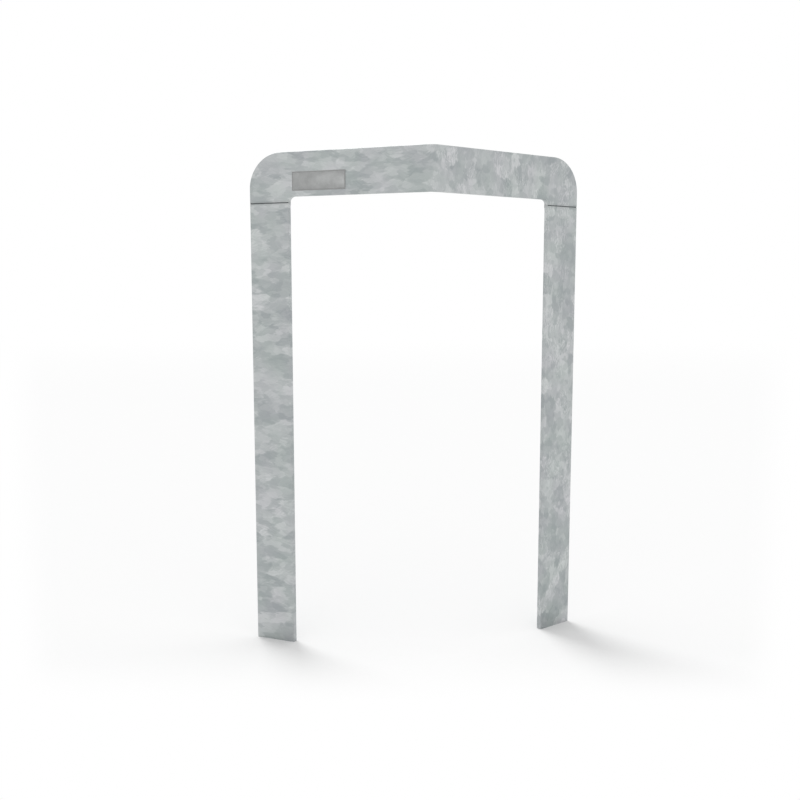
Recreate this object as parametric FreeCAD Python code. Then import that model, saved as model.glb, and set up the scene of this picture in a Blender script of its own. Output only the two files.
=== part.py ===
import FreeCAD, Part
import math
import os

# Hoop bike rack of galvanised flat steel, set into the ground. Millimetres, +Z up.
# A cut plate head, folded once in the middle, carries a flat bar leg at each end.
# Seen from above the hoop is a V whose point faces -Y, the front.
# The origin is at ground level, midway between the centre lines of the legs.

# Overall form
hoop_height = 890.0
hoop_span = 600.0
fold_angle = 120.0

# Plate and bar
plate_thickness = 10.0
rail_depth = 76.5
leg_width = 77.0
outer_corner_radius = 61.5
inner_corner_radius = 10.5
bend_inside_radius = 10.0
edge_radius = 1.0

# Butt joint between the head and a leg
seam_gap = 1.2
seam_groove_depth = 1.2
joint_root_face = 3.5
joint_bevel_angle = 30.0
weld_cap_height = 1.4
weld_end_radius = 0.8

# Part of each leg below the ground
root_length = 250.0
anchor_hole_diameter = 14.0
anchor_hole_end_distance = 50.0

# Worked out from the above
UP = FreeCAD.Vector(0, 0, 1)
half_turn = (180.0 - fold_angle) / 2.0
cos_turn = math.cos(math.radians(half_turn))
sin_turn = math.sin(math.radians(half_turn))
arm_length = hoop_span / 2.0 / cos_turn
leg_inner = arm_length - leg_width
leg_centre = arm_length - leg_width / 2.0
front = -plate_thickness / 2.0
back = plate_thickness / 2.0
rail_underside = hoop_height - rail_depth
seam_height = rail_underside - inner_corner_radius
bend_mid_radius = bend_inside_radius + plate_thickness / 2.0
bend_tangent = bend_mid_radius * math.tan(math.radians(half_turn))
root_face_end = front + joint_root_face
bevel_slope = math.tan(math.radians(joint_bevel_angle))
cut_margin = plate_thickness
tolerance = 1e-6


def to_right_arm(shape):
    """Carry a shape from the arm's own frame to its place on the right.

    In the arm's frame X runs outwards from the fold, Y runs from the front
    face to the back face with 0 at mid thickness, and Z is up."""
    placed = shape.copy()
    fold_point = FreeCAD.Vector(0, -leg_centre * sin_turn, 0)
    turn = FreeCAD.Rotation(UP, half_turn)
    placed.Placement = FreeCAD.Placement(fold_point, turn)
    return placed


def to_left_arm(shape):
    """The hoop is symmetric about the plane X = 0."""
    return to_right_arm(shape).mirror(FreeCAD.Vector(0, 0, 0), FreeCAD.Vector(1, 0, 0))


def arc_about(centre_x, centre_z, radius, start_degrees, end_degrees, depth):
    """An arc in a plane of constant Y, given by its start and end angles from X."""
    points = []
    for share in (0.0, 0.5, 1.0):
        angle = math.radians(start_degrees + share * (end_degrees - start_degrees))
        x = centre_x + radius * math.cos(angle)
        z = centre_z + radius * math.sin(angle)
        points.append(FreeCAD.Vector(x, depth, z))
    return Part.Arc(*points).toShape()


def line(x1, z1, x2, z2, depth):
    start = FreeCAD.Vector(x1, depth, z1)
    end = FreeCAD.Vector(x2, depth, z2)
    return Part.makeLine(start, end)


def flat_arm():
    """One flat half of the head: rail, rounded shoulder and the start of the leg."""
    outer_x = arm_length - outer_corner_radius
    outer_z = hoop_height - outer_corner_radius
    inner_x = leg_inner - inner_corner_radius
    edges = [
        line(bend_tangent, hoop_height, outer_x, hoop_height, front),
        arc_about(outer_x, outer_z, outer_corner_radius, 90, 0, front),
        line(arm_length, outer_z, arm_length, seam_height, front),
        line(arm_length, seam_height, leg_inner, seam_height, front),
        arc_about(inner_x, seam_height, inner_corner_radius, 0, 90, front),
        line(inner_x, rail_underside, bend_tangent, rail_underside, front),
        line(bend_tangent, rail_underside, bend_tangent, hoop_height, front),
    ]
    outline = Part.Face(Part.Wire(edges))
    return outline.extrude(FreeCAD.Vector(0, plate_thickness, 0))


def rail_bend():
    """The press bend in the middle of the rail, turned about its own centre line."""
    corners = [
        FreeCAD.Vector(bend_tangent, front, rail_underside),
        FreeCAD.Vector(bend_tangent, back, rail_underside),
        FreeCAD.Vector(bend_tangent, back, hoop_height),
        FreeCAD.Vector(bend_tangent, front, hoop_height),
    ]
    section = Part.Face(Part.makePolygon(corners + corners[:1]))
    centre = FreeCAD.Vector(bend_tangent, bend_mid_radius, 0)
    return section.revolve(centre, UP, -2.0 * half_turn)


def is_plate_edge(shape, edge):
    """True for an edge above the seam that runs along the rim of the plate.

    There a large face meets the narrow cut side square on. Where flat and round
    stretches of one face meet, the face only changes its curve, not its direction."""
    if edge.BoundBox.ZMax < seam_height + tolerance:
        return False
    normals = []
    for face in shape.ancestorsOfType(edge, Part.Face):
        middle = edge.valueAt((edge.FirstParameter + edge.LastParameter) / 2.0)
        u, v = face.Surface.parameter(middle)
        normals.append(face.normalAt(u, v))
    return abs(normals[0].dot(normals[1])) < 0.5


def joint_space():
    """What the butt joint takes away: a narrow gap in front and a V behind it.

    In front the two lips of the gap are rounded like the other edges."""
    gap = seam_gap / 2.0
    lip = gap + edge_radius
    lip_end = front + edge_radius
    outside = front - cut_margin
    mouth_y = back + cut_margin
    mouth = gap + (mouth_y - root_face_end) * bevel_slope
    start = leg_inner - cut_margin

    def point(y, z):
        return FreeCAD.Vector(start, y, seam_height + z)

    def lip_arc(side):
        rise = edge_radius * (1.0 - math.sqrt(0.5))
        middle = point(front + rise, side * (gap + rise))
        return Part.Arc(point(front, side * lip), middle, point(lip_end, side * gap)).toShape()

    edges = [
        Part.makeLine(point(outside, -lip), point(front, -lip)),
        lip_arc(-1),
        Part.makeLine(point(lip_end, -gap), point(root_face_end, -gap)),
        Part.makeLine(point(root_face_end, -gap), point(mouth_y, -mouth)),
        Part.makeLine(point(mouth_y, -mouth), point(mouth_y, mouth)),
        Part.makeLine(point(mouth_y, mouth), point(root_face_end, gap)),
        Part.makeLine(point(root_face_end, gap), point(lip_end, gap)),
        lip_arc(1),
        Part.makeLine(point(front, lip), point(outside, lip)),
        Part.makeLine(point(outside, lip), point(outside, -lip)),
    ]
    face = Part.Face(Part.Wire(edges))
    return face.extrude(FreeCAD.Vector(leg_width + 2.0 * cut_margin, 0, 0))


def head():
    """The folded plate, its edges rounded by the galvanising, its ends bevelled."""
    right = to_right_arm(flat_arm())
    left = to_left_arm(flat_arm())
    plate = right.fuse([to_right_arm(rail_bend()), left]).removeSplitter()
    plate = plate.Solids[0]
    edges = [edge for edge in plate.Edges if is_plate_edge(plate, edge)]
    plate = plate.makeFillet(edge_radius, edges)
    return plate.cut([to_right_arm(joint_space()), to_left_arm(joint_space())])


def leg():
    """A flat bar from its buried end to the seam, in the arm's frame."""
    height = seam_height + root_length
    corner = FreeCAD.Vector(leg_inner, front, -root_length)
    bar = Part.makeBox(leg_width, plate_thickness, height, corner)
    upright = [edge for edge in bar.Edges if edge.BoundBox.ZLength > height / 2.0]
    bar = bar.makeFillet(edge_radius, upright)
    hole_height = anchor_hole_end_distance - root_length
    hole_start = FreeCAD.Vector(leg_centre, front - cut_margin, hole_height)
    hole_length = plate_thickness + 2.0 * cut_margin
    hole_radius = anchor_hole_diameter / 2.0
    hole = Part.makeCylinder(hole_radius, hole_length, hole_start, FreeCAD.Vector(0, 1, 0))
    return bar.cut([hole, joint_space()])


def weld():
    """The weld that fills the V from behind and stops short of the front face."""
    gap = seam_gap / 2.0
    mouth = gap + (back - root_face_end) * bevel_slope
    groove_floor = front + seam_groove_depth

    def point(y, z):
        return FreeCAD.Vector(leg_inner, y, seam_height + z)

    cap = Part.Arc(point(back, mouth), point(back + weld_cap_height, 0), point(back, -mouth))
    edges = [
        Part.makeLine(point(groove_floor, -gap), point(groove_floor, gap)),
        Part.makeLine(point(groove_floor, gap), point(root_face_end, gap)),
        Part.makeLine(point(root_face_end, gap), point(back, mouth)),
        cap.toShape(),
        Part.makeLine(point(back, -mouth), point(root_face_end, -gap)),
        Part.makeLine(point(root_face_end, -gap), point(groove_floor, -gap)),
    ]
    section = Part.Face(Part.Wire(edges))
    bead = section.extrude(FreeCAD.Vector(leg_width, 0, 0))
    ends = [edge for edge in bead.Edges if isinstance(edge.Curve, Part.Circle)]
    return bead.makeFillet(weld_end_radius, ends)


def save(name, shape):
    if shape.ShapeType == "Compound" and len(shape.Solids) == 1:
        shape = shape.Solids[0]
    shape.exportStep(os.path.join("parts", name + ".step"))
    box = shape.BoundBox
    print(name, shape.isValid(), len(shape.Solids), round(shape.Volume), "mm3",
          [round(value, 2) for value in (box.XMin, box.YMin, box.ZMin,
                                         box.XMax, box.YMax, box.ZMax)])


os.makedirs("parts", exist_ok=True)
save("head", head())
save("left_leg", to_left_arm(leg()))
save("right_leg", to_right_arm(leg()))
save("left_weld", to_left_arm(weld()))
save("right_weld", to_right_arm(weld()))
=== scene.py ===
import math

import bmesh
import bpy
from mathutils import Matrix, Vector


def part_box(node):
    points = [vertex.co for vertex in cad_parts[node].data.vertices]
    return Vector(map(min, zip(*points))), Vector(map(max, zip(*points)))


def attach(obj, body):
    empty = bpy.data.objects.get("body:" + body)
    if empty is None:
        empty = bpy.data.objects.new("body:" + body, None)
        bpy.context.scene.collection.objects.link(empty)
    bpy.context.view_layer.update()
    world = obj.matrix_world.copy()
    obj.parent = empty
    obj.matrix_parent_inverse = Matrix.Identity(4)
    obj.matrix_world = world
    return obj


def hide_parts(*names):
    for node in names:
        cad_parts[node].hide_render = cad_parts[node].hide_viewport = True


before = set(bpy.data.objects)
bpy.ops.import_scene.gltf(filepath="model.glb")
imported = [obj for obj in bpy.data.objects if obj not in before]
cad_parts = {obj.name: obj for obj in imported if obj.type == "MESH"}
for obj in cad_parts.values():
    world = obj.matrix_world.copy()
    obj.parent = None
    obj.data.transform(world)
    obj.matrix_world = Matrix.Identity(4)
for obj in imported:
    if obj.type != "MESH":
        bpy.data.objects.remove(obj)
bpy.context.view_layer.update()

# Looks of a hoop bike rack in hot-dip galvanised flat steel. Metres, +Z up, -Y to the front.

# Sizes that the scene shares with the solids
HALF_TURN = math.radians(30.0)
PLATE_THICKNESS = 0.010
BAR_WIDTH = 0.077
SEAM_GAP = 0.0012
SEAM_GROOVE_DEPTH = 0.0012
JOINT_ROOT_FACE = 0.0035
JOINT_BEVEL_ANGLE = math.radians(30.0)
WELD_CAP_HEIGHT = 0.0014

# Weld bead
RIPPLE_PITCH = 0.0032
RIPPLE_HEIGHT = 0.00035
RIPPLE_SWEEP = 0.9
BEAD_SECTIONS = 190
CAP_STEPS = 12
BEAD_END_TAPER = 0.003

# Blank framed plate on the left half of the head
TAG_WIDTH = 0.103
TAG_HEIGHT = 0.033
TAG_FROM_LEG_CENTRE = -0.0985
TAG_CENTRE_HEIGHT = 0.8392
TAG_THICKNESS = 0.0009
TAG_RIM_WIDTH = 0.0006
TAG_LINE_WIDTH = 0.0012
TAG_LINE_DEPTH = 0.0004
TAG_CORNER_RADIUS = 0.0012
TAG_EDGE = 0.0002
TAG_CORNER_POINTS = 5

# Zinc. Its tone runs from 0 to 1, and three colours lie along it
ZINC_DARK = (0.352, 0.382, 0.389)
ZINC_MIDDLE = (0.438, 0.463, 0.465)
ZINC_LIGHT = (0.573, 0.588, 0.592)
TONE_STOPS = (0.15, 0.5, 0.85)
FOLD_HEIGHT = 0.852
FOLD_BLEND = 0.020

# Shares of the tone
LARGE_SHARE = 0.37
SMALL_SHARE = 0.28
FEATHER_SHARE = 0.24
GRAIN_SHARE = 0.10

# Sizes of the zinc's features: along the plate and upwards, on the left half and on the right one
LARGE_SIZES = ((0.040, 0.020), (0.024, 0.027))
SMALL_SIZES = ((0.018, 0.0095), (0.010, 0.0118))
FRINGE_SIZES = ((0.022, 0.0030), (0.0026, 0.022))
FEATHER_SIZES = ((0.016, 0.0022), (0.0022, 0.016))
GRAIN_SIZES = ((0.0016, 0.0014), (0.0014, 0.0016))

# Crystals. The shifts choose the stretch of the endless pattern that lies on the hoop
FRINGE = 0.8
WARP_SCALE = 1.3
CRYSTAL_WARP = 0.8
CRYSTAL_SOFTNESS = 0.20
LARGE_SHIFT = 23.0
SMALL_SHIFT = 7.0
FEATHER_SPREAD = math.radians(90.0)

# Some large crystals gleam in streaks, by this much on the left half and on the right one
STREAK_GLEAM = (0.09, 0.21)
GLEAMING_CRYSTALS = (0.70, 0.80)
STREAK_RANGE = (0.42, 0.60)

# Finish of the zinc
ROSE_TINT = (1.021, 1.0, 1.018)
GREEN_TINT = (0.979, 1.0, 0.982)
TINT_SIZE = 0.045
TINT_STOPS = (0.3, 0.7)
# Painted shade: the zinc's colour is scaled down close to the seams, fading out between these
# distances
SEAM_PAINTED_SHADE = 0.87
SEAM_PAINTED_SHADE_FADE = (0.001, 0.006)
WELD_LEVEL = 0.95
ZINC_METALLIC = 0.85
ZINC_ROUGHNESS = (0.56, 0.40)
ROUGHNESS_TONES = (0.2, 0.8)
GRAIN_RELIEF = 0.5
ZINC_BUMP = 0.35
ZINC_RELIEF = 0.0004

# Zinc without crystals: on the blank plate, in its engraved line, and dark inside the seams as
# painted shade
PLATE_ZINC = ((0.375, 0.382, 0.380), (0.495, 0.504, 0.501))
LINE_ZINC = ((0.300, 0.303, 0.300), (0.360, 0.363, 0.360))
# Dark zinc at the bottom of the seam grooves is painted shade
GROOVE_PAINTED_SHADE_ZINC = ((0.100, 0.104, 0.110), (0.180, 0.190, 0.200))
CLOUD_SIZE = 0.015
CLOUD_SHARE = 0.6
DULL_GRAIN_SIZE = 0.0012
DULL_GRAIN_SHARE = 0.4
DULL_TONES = (0.3, 0.7)
DULL_METALLIC = 0.6
DULL_ROUGHNESS = (0.65, 0.55)
DULL_BUMP = 0.3
DULL_RELIEF = 0.0002

# Camera
CAMERA_PLACE = (-0.28035, -1.76538, 0.66914)
CAMERA_YAW = 0.13868
CAMERA_PITCH = 0.12396
CAMERA_LENS = 43.577
CAMERA_SENSOR = 36.0

# Light
WORLD_LEVEL = 1.0
KEY_DIRECTION = (111.6, 51.0)
KEY_SOFTNESS = 27.0
KEY_SHARE = 0.360
FILL_DIRECTION = (10.0, 33.0)
FILL_SOFTNESS = 30.0
FILL_SHARE = 0.014

# Floor, in a frame whose origin is below the camera, with Y running away from it
FLOOR_ALBEDO = 0.71
FLOOR_SIZE = 40.0
FLOOR_NEAR_FADE = (1.46, 1.72)
FLOOR_FAR_FADE = (5.4, 11.0)
FLOOR_SIDE_FADE = (0.365, 0.415)


def add(tree, kind, inputs=None, **settings):
    """A node of one kind. Inputs are values, or the outputs that feed them."""
    node = tree.nodes.new(kind)
    for name, value in settings.items():
        setattr(node, name, value)
    for name, value in (inputs or {}).items():
        if isinstance(value, bpy.types.NodeSocket):
            tree.links.new(value, node.inputs[name])
        else:
            node.inputs[name].default_value = value
    return node


def calculate(tree, operation, first, second=0.0, third=0.0):
    """The result of a sum on one to three values or outputs."""
    inputs = {0: first, 1: second, 2: third}
    return add(tree, "ShaderNodeMath", inputs, operation=operation).outputs[0]


def smooth_step(tree, value, start, end, low=0.0, high=1.0):
    """A soft change from low to high while the value goes from start to end."""
    inputs = {"Value": value, "From Min": start, "From Max": end, "To Min": low, "To Max": high}
    node = add(tree, "ShaderNodeMapRange", inputs, interpolation_type="SMOOTHSTEP")
    return node.outputs["Result"]


def colour_ramp(tree, value, stops):
    """The colour for a value, between stops that are each a position and a colour."""
    ramp = add(tree, "ShaderNodeValToRGB", {"Fac": value})
    elements = ramp.color_ramp.elements
    while len(elements) < len(stops):
        elements.new(0.5)
    for element, (position, colour) in zip(elements, stops):
        element.position = position
        element.color = (*colour, 1.0)
    return ramp.outputs["Color"]


def noise(tree, place, scale, detail=2.0, roughness=0.5):
    inputs = {"Vector": place, "Scale": scale, "Detail": detail, "Roughness": roughness}
    return add(tree, "ShaderNodeTexNoise", inputs)


def vector_sum(tree, operation, first, second):
    """The result of a sum on two vectors, or on a vector and a number for SCALE."""
    second_input = "Scale" if operation == "SCALE" else 1
    inputs = {0: first, second_input: second}
    return add(tree, "ShaderNodeVectorMath", inputs, operation=operation).outputs[0]


def from_fold(tree):
    """The place on the object, from the middle of the fold, and 0 left of it to 1 on its right."""
    low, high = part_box("right_leg")
    fold_depth = -(low.x + high.x) / 2.0 * math.tan(HALF_TURN)
    coordinates = add(tree, "ShaderNodeTexCoord").outputs["Object"]
    place = vector_sum(tree, "SUBTRACT", coordinates, (0.0, fold_depth, FOLD_HEIGHT))
    across = add(tree, "ShaderNodeSeparateXYZ", {"Vector": place}).outputs["X"]
    side = smooth_step(tree, across, -FOLD_BLEND, FOLD_BLEND)
    return place, side


def in_units(tree, place, side, sizes):
    """The place counted in features, whose sizes differ between the left half and the right."""
    left, right = sizes
    along = smooth_step(tree, side, 0.0, 1.0, 1.0 / left[0], 1.0 / right[0])
    up = smooth_step(tree, side, 0.0, 1.0, 1.0 / left[1], 1.0 / right[1])
    units = add(tree, "ShaderNodeCombineXYZ", {"X": along, "Y": along, "Z": up}).outputs["Vector"]
    return vector_sum(tree, "MULTIPLY", place, units)


def drawn_out(tree, place, side):
    """A fringe that pulls the crystals' borders out, along the left half and upright on the right."""
    threads = noise(tree, in_units(tree, place, side, FRINGE_SIZES), 1.0)
    centred = calculate(tree, "SUBTRACT", threads.outputs["Fac"], 0.5)
    pull = calculate(tree, "MULTIPLY", centred, FRINGE)
    upright = calculate(tree, "MULTIPLY", pull, side)
    across = calculate(tree, "SUBTRACT", pull, upright)
    inputs = {"X": across, "Y": 0.0, "Z": upright}
    return add(tree, "ShaderNodeCombineXYZ", inputs).outputs["Vector"]


def spangle(tree, place, shift, fringe):
    """Crystals about one unit across: each one's tone with soft borders, and its random chances."""
    moved = vector_sum(tree, "ADD", place, (shift, shift, shift))
    warp = noise(tree, moved, WARP_SCALE).outputs["Color"]
    centred = vector_sum(tree, "SUBTRACT", warp, (0.5, 0.5, 0.5))
    offset = vector_sum(tree, "SCALE", centred, CRYSTAL_WARP)
    warped = vector_sum(tree, "ADD", vector_sum(tree, "ADD", moved, offset), fringe)
    soft = {"Vector": warped, "Scale": 1.0, "Smoothness": CRYSTAL_SOFTNESS}
    soft_cells = add(tree, "ShaderNodeTexVoronoi", soft, feature="SMOOTH_F1").outputs["Color"]
    sharp = {"Vector": warped, "Scale": 1.0}
    sharp_cells = add(tree, "ShaderNodeTexVoronoi", sharp).outputs["Color"]
    tone = add(tree, "ShaderNodeSeparateColor", {"Color": soft_cells}).outputs["Red"]
    return tone, add(tree, "ShaderNodeSeparateColor", {"Color": sharp_cells}).outputs


def feathering(tree, place, side, chance):
    """Fine lines in the crystals. A crystal's chance turns its lines from its half's direction."""
    centred = calculate(tree, "SUBTRACT", chance, 0.5)
    angle = calculate(tree, "MULTIPLY", centred, FEATHER_SPREAD)
    inputs = {"Vector": place, "Axis": (0.0, 1.0, 0.0), "Angle": angle}
    turned = add(tree, "ShaderNodeVectorRotate", inputs).outputs["Vector"]
    return noise(tree, in_units(tree, turned, side, FEATHER_SIZES), 1.0).outputs["Fac"]


def tint(tree, place):
    """A slow wander of the colour between rose and green."""
    wander = noise(tree, place, 1.0 / TINT_SIZE, 1.0).outputs["Fac"]
    return colour_ramp(tree, wander, list(zip(TINT_STOPS, (ROSE_TINT, GREEN_TINT))))


def seam_painted_shade(tree, place):
    """How much of its colour the zinc keeps: a little less close to the seams, as painted shade."""
    low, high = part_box("left_weld")
    seam_height = (low.z + high.z) / 2.0 - FOLD_HEIGHT
    up = add(tree, "ShaderNodeSeparateXYZ", {"Vector": place}).outputs["Z"]
    distance = calculate(tree, "ABSOLUTE", calculate(tree, "SUBTRACT", up, seam_height))
    return smooth_step(tree, distance, *SEAM_PAINTED_SHADE_FADE, SEAM_PAINTED_SHADE, 1.0)


def zinc_material(name, level=1.0):
    """Hot-dip galvanised steel: feathered crystals of two sizes, and a fine grain.

    The crystals lie across the hoop's left half and stand upright on its right one."""
    material = bpy.data.materials.new(name)
    material.use_nodes = True
    tree = material.node_tree
    shader = tree.nodes["Principled BSDF"]
    place, side = from_fold(tree)

    fringe = drawn_out(tree, place, side)
    large_place = in_units(tree, place, side, LARGE_SIZES)
    small_place = in_units(tree, place, side, SMALL_SIZES)
    large, large_chances = spangle(tree, large_place, LARGE_SHIFT, fringe)
    small, small_chances = spangle(tree, small_place, SMALL_SHIFT, fringe)
    feathers = feathering(tree, place, side, small_chances["Green"])
    grain = noise(tree, in_units(tree, place, side, GRAIN_SIZES), 1.0).outputs["Fac"]

    tone = calculate(tree, "MULTIPLY", large, LARGE_SHARE)
    tone = calculate(tree, "MULTIPLY_ADD", small, SMALL_SHARE, tone)
    tone = calculate(tree, "MULTIPLY_ADD", feathers, FEATHER_SHARE, tone)
    tone = calculate(tree, "MULTIPLY_ADD", grain, GRAIN_SHARE, tone)
    gleaming = smooth_step(tree, large_chances["Blue"], *GLEAMING_CRYSTALS)
    streaks = smooth_step(tree, feathers, *STREAK_RANGE)
    gleam = smooth_step(tree, side, 0.0, 1.0, *STREAK_GLEAM)
    bright = calculate(tree, "MULTIPLY", gleaming, streaks)
    tone = calculate(tree, "MULTIPLY_ADD", bright, gleam, tone)
    colours = (ZINC_DARK, ZINC_MIDDLE, ZINC_LIGHT)
    colours = [[level * part for part in colour] for colour in colours]
    colour = colour_ramp(tree, tone, list(zip(TONE_STOPS, colours)))
    colour = vector_sum(tree, "MULTIPLY", colour, tint(tree, place))
    # Painted shade darkens the zinc close to the seams
    colour = vector_sum(tree, "SCALE", colour, seam_painted_shade(tree, place))
    tree.links.new(colour, shader.inputs["Base Color"])

    roughness = smooth_step(tree, tone, *ROUGHNESS_TONES, *ZINC_ROUGHNESS)
    tree.links.new(roughness, shader.inputs["Roughness"])
    shader.inputs["Metallic"].default_value = ZINC_METALLIC

    relief = calculate(tree, "MULTIPLY_ADD", grain, GRAIN_RELIEF, tone)
    inputs = {"Height": relief, "Strength": ZINC_BUMP, "Distance": ZINC_RELIEF}
    bump = add(tree, "ShaderNodeBump", inputs)
    tree.links.new(bump.outputs["Normal"], shader.inputs["Normal"])
    return material


def dull_material(name, colours):
    """Zinc without crystals: soft clouds and a fine grain, between two colours."""
    material = bpy.data.materials.new(name)
    material.use_nodes = True
    tree = material.node_tree
    shader = tree.nodes["Principled BSDF"]
    place = add(tree, "ShaderNodeTexCoord").outputs["Object"]
    clouds = noise(tree, place, 1.0 / CLOUD_SIZE).outputs["Fac"]
    grain = noise(tree, place, 1.0 / DULL_GRAIN_SIZE).outputs["Fac"]
    cloud_tone = calculate(tree, "MULTIPLY", clouds, CLOUD_SHARE)
    grain_tone = calculate(tree, "MULTIPLY", grain, DULL_GRAIN_SHARE)
    tone = calculate(tree, "ADD", cloud_tone, grain_tone)
    colour = colour_ramp(tree, tone, list(zip(DULL_TONES, colours)))
    tree.links.new(colour, shader.inputs["Base Color"])
    roughness = smooth_step(tree, tone, *DULL_TONES, *DULL_ROUGHNESS)
    tree.links.new(roughness, shader.inputs["Roughness"])
    shader.inputs["Metallic"].default_value = DULL_METALLIC
    inputs = {"Height": grain, "Strength": DULL_BUMP, "Distance": DULL_RELIEF}
    bump = add(tree, "ShaderNodeBump", inputs)
    tree.links.new(bump.outputs["Normal"], shader.inputs["Normal"])
    return material


def mesh_object(name, mesh_data, materials):
    mesh = bpy.data.meshes.new(name)
    mesh_data.to_mesh(mesh)
    mesh_data.free()
    for material in materials:
        mesh.materials.append(material)
    piece = bpy.data.objects.new(name, mesh)
    bpy.context.scene.collection.objects.link(piece)
    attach(piece, "root")
    return piece


def arm_frame(side):
    """From an arm's own frame to the object's, for the left (-1) or right (+1) arm.

    There X runs outwards from the leg's centre line, Y from the front to the back
    with 0 at mid thickness, and Z up from the ground."""
    low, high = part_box("right_leg")
    centre = Vector((side * (low.x + high.x) / 2.0, 0.0, 0.0))
    turn = Matrix.Rotation(side * HALF_TURN, 4, "Z")
    mirror = Matrix.Diagonal((side, 1.0, 1.0, 1.0))
    return Matrix.Translation(centre) @ turn @ mirror


def rings_to_mesh(rings, placement, takes_second):
    """A closed skin over rings of points, one after another.

    takes_second says, by ring and by point, which faces take the second material."""
    shape = bmesh.new()
    rows = [[shape.verts.new(placement @ point) for point in ring] for ring in rings]
    for level, (row, following) in enumerate(zip(rows, rows[1:])):
        count = len(row)
        for index in range(count):
            after = (index + 1) % count
            face = shape.faces.new((row[index], row[after], following[after], following[index]))
            face.material_index = int(takes_second(level, index))
    shape.faces.new(rows[0])
    shape.faces.new(rows[-1])
    bmesh.ops.recalc_face_normals(shape, faces=shape.faces)
    for face in shape.faces:
        face.smooth = True
    return shape


def bead_ring(along, seam_height):
    """The bead's section at one place along the joint, its cap rippled as it was laid."""
    from_end = BAR_WIDTH / 2.0 - abs(along)
    fade = min(1.0, from_end / BEAD_END_TAPER)
    fullness = math.sqrt(max(0.0, 1.0 - (1.0 - fade) ** 2))
    front = -PLATE_THICKNESS / 2.0
    back = PLATE_THICKNESS / 2.0
    groove = front + SEAM_GROOVE_DEPTH
    root = front + JOINT_ROOT_FACE
    gap = SEAM_GAP / 2.0
    mouth = gap + (back - root) * math.tan(JOINT_BEVEL_ANGLE)
    ring = [(groove, -gap), (groove, gap), (root, gap)]
    for step in range(CAP_STEPS + 1):
        across = 1.0 - 2.0 * step / CAP_STEPS
        cap = WELD_CAP_HEIGHT * (1.0 - across * across)
        phase = along / RIPPLE_PITCH + RIPPLE_SWEEP * across * across
        ripple = RIPPLE_HEIGHT * (abs(math.sin(math.pi * phase)) - 1.0) * (1.0 - across ** 4)
        ring.append((back + (cap + ripple) * fullness, mouth * across))
    ring.append((root, -gap))
    return [Vector((along, depth, seam_height + up)) for depth, up in ring]


def make_weld(side, name, materials):
    """A weld bead, rippled behind, whose narrow front at the bottom of the seam is painted dark as
    shade.
    """
    low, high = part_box(name)
    seam_height = (low.z + high.z) / 2.0
    last = BEAD_SECTIONS - 1
    places = [BAR_WIDTH * (step / last - 0.5) for step in range(BEAD_SECTIONS)]
    rings = [bead_ring(along, seam_height) for along in places]
    # The bead's narrow front face takes the second, dark material: painted shade at the bottom of the
    # seam
    shape = rings_to_mesh(rings, arm_frame(side), lambda level, index: index == 0)
    piece = mesh_object(name + "_bead", shape, materials)
    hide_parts(name)
    return piece


def rounded_rectangle(width, height, radius, depth):
    """Points of a ring in a plane of constant Y, with rounded corners."""
    last = TAG_CORNER_POINTS - 1
    points = []
    corners = ((1, 1, 0), (-1, 1, 90), (-1, -1, 180), (1, -1, 270))
    for across, up, start in corners:
        for step in range(TAG_CORNER_POINTS):
            angle = math.radians(start + 90.0 * step / last)
            x = across * (width / 2.0 - radius) + radius * math.cos(angle)
            z = up * (height / 2.0 - radius) + radius * math.sin(angle)
            points.append(Vector((x, depth, z)))
    return points


def make_tag(materials):
    """A blank plate with a dark line engraved round it, on the front of the head's left half."""
    face = -PLATE_THICKNESS / 2.0
    top = face - TAG_THICKNESS
    line_end = TAG_RIM_WIDTH + TAG_LINE_WIDTH
    inset_levels = [
        (0.0, face + TAG_EDGE),
        (0.0, top + TAG_EDGE),
        (TAG_EDGE, top),
        (TAG_RIM_WIDTH, top),
        (TAG_RIM_WIDTH, top + TAG_LINE_DEPTH),
        (line_end, top + TAG_LINE_DEPTH),
        (line_end, top),
    ]
    line_levels = (3, 4, 5)
    centre = Vector((TAG_FROM_LEG_CENTRE, 0.0, TAG_CENTRE_HEIGHT))
    rings = []
    for inset, depth in inset_levels:
        radius = max(TAG_CORNER_RADIUS - inset, TAG_EDGE)
        ring = rounded_rectangle(TAG_WIDTH - 2 * inset, TAG_HEIGHT - 2 * inset, radius, depth)
        rings.append([centre + point for point in ring])
    shape = rings_to_mesh(rings, arm_frame(-1), lambda level, index: level in line_levels)
    return mesh_object("blank_tag", shape, materials)


def background_rays(tree):
    """1 for the rays that see the background: the camera's, reflections and transmission."""
    rays = add(tree, "ShaderNodeLightPath").outputs
    seen = calculate(tree, "MAXIMUM", rays["Is Camera Ray"], rays["Is Glossy Ray"])
    return calculate(tree, "MAXIMUM", seen, rays["Is Transmission Ray"])


def make_world():
    world = bpy.data.worlds.new("white_studio")
    world.use_nodes = True
    background = world.node_tree.nodes["Background"].inputs
    background["Color"].default_value = (1.0, 1.0, 1.0, 1.0)
    background["Strength"].default_value = WORLD_LEVEL
    bpy.context.scene.world = world


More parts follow.
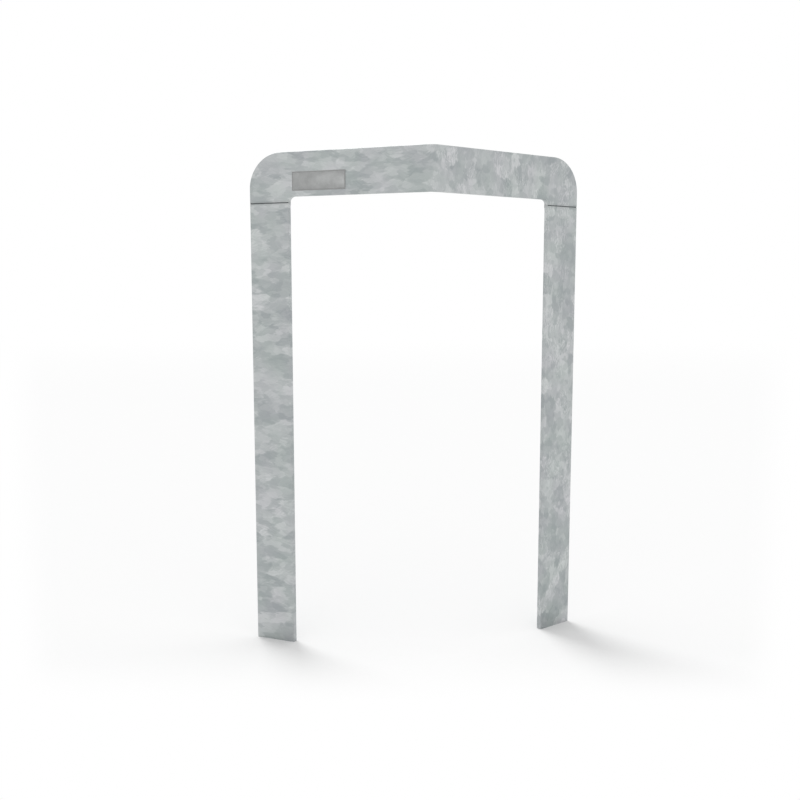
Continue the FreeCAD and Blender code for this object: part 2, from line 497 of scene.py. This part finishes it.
def floor_material():
    """Pale ground that takes the shadow, and fades to the white of the background at its rim."""
    material = bpy.data.materials.new("floor")
    material.use_nodes = True
    material.cycles.emission_sampling = "NONE"
    tree = material.node_tree
    tree.nodes.clear()
    place = add(tree, "ShaderNodeTexCoord").outputs["Object"]
    split = add(tree, "ShaderNodeSeparateXYZ", {"Vector": place}).outputs
    aside = calculate(tree, "ABSOLUTE", calculate(tree, "DIVIDE", split["X"], split["Y"]))
    near = smooth_step(tree, split["Y"], *FLOOR_NEAR_FADE)
    far = smooth_step(tree, split["Y"], *reversed(FLOOR_FAR_FADE))
    middle = smooth_step(tree, aside, *reversed(FLOOR_SIDE_FADE))
    patch = calculate(tree, "MULTIPLY", calculate(tree, "MULTIPLY", near, far), middle)
    outside = calculate(tree, "SUBTRACT", 1.0, patch)
    white_share = calculate(tree, "MULTIPLY", outside, background_rays(tree))
    colour = (FLOOR_ALBEDO, FLOOR_ALBEDO, FLOOR_ALBEDO, 1.0)
    ground = add(tree, "ShaderNodeBsdfDiffuse", {"Color": colour, "Roughness": 0.0})
    white = add(tree, "ShaderNodeEmission", {"Color": (1, 1, 1, 1), "Strength": 1.0})
    inputs = {0: white_share, 1: ground.outputs[0], 2: white.outputs[0]}
    mixed = add(tree, "ShaderNodeMixShader", inputs)
    add(tree, "ShaderNodeOutputMaterial", {"Surface": mixed.outputs[0]})
    return material


def make_floor():
    shape = bmesh.new()
    bmesh.ops.create_grid(shape, x_segments=1, y_segments=1, size=FLOOR_SIZE)
    mesh = bpy.data.meshes.new("floor")
    shape.to_mesh(mesh)
    shape.free()
    mesh.materials.append(floor_material())
    floor = bpy.data.objects.new("floor", mesh)
    floor.location = (CAMERA_PLACE[0], CAMERA_PLACE[1], 0.0)
    floor.rotation_euler = (0.0, 0.0, -CAMERA_YAW)
    bpy.context.scene.collection.objects.link(floor)


def make_lamp(name, direction, softness, share):
    """A distant soft lamp, given by the share of the world's light that it adds to level ground.

    The direction towards it is an angle from +X in plan, and one above the ground."""
    plan, rise = (math.radians(angle) for angle in direction)
    lamp = bpy.data.lights.new(name, "SUN")
    lamp.energy = share * WORLD_LEVEL * math.pi / math.sin(rise)
    lamp.angle = math.radians(softness)
    level = math.cos(rise)
    towards = Vector((level * math.cos(plan), level * math.sin(plan), math.sin(rise)))
    holder = bpy.data.objects.new(name, lamp)
    holder.rotation_mode = "QUATERNION"
    holder.rotation_quaternion = towards.to_track_quat("Z", "Y")
    bpy.context.scene.collection.objects.link(holder)


def make_camera():
    lens = bpy.data.cameras.new("camera")
    lens.lens = CAMERA_LENS
    lens.sensor_width = CAMERA_SENSOR
    camera = bpy.data.objects.new("camera", lens)
    camera.location = CAMERA_PLACE
    camera.rotation_euler = (math.pi / 2.0 - CAMERA_PITCH, 0.0, -CAMERA_YAW)
    bpy.context.scene.collection.objects.link(camera)
    bpy.context.scene.camera = camera


def dress(node, material):
    node.data.materials.clear()
    node.data.materials.append(material)


zinc = zinc_material("galvanised_zinc")
weld_zinc = zinc_material("galvanised_weld_zinc", level=WELD_LEVEL)
# Dark zinc for the bottom of the seam grooves: painted shade
groove_painted_shade_zinc = dull_material("groove_painted_shade_zinc", GROOVE_PAINTED_SHADE_ZINC)
plate_zinc = dull_material("plate_zinc", PLATE_ZINC)
line_zinc = dull_material("line_zinc", LINE_ZINC)
for name in ("head", "left_leg", "right_leg"):
    dress(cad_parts[name], zinc)
make_weld(-1, "left_weld", (weld_zinc, groove_painted_shade_zinc))
make_weld(1, "right_weld", (weld_zinc, groove_painted_shade_zinc))
make_tag((plate_zinc, line_zinc))
make_world()
make_lamp("key", KEY_DIRECTION, KEY_SOFTNESS, KEY_SHARE)
make_lamp("fill", FILL_DIRECTION, FILL_SOFTNESS, FILL_SHARE)
make_floor()
make_camera()
bpy.context.scene.view_settings.view_transform = "Standard"
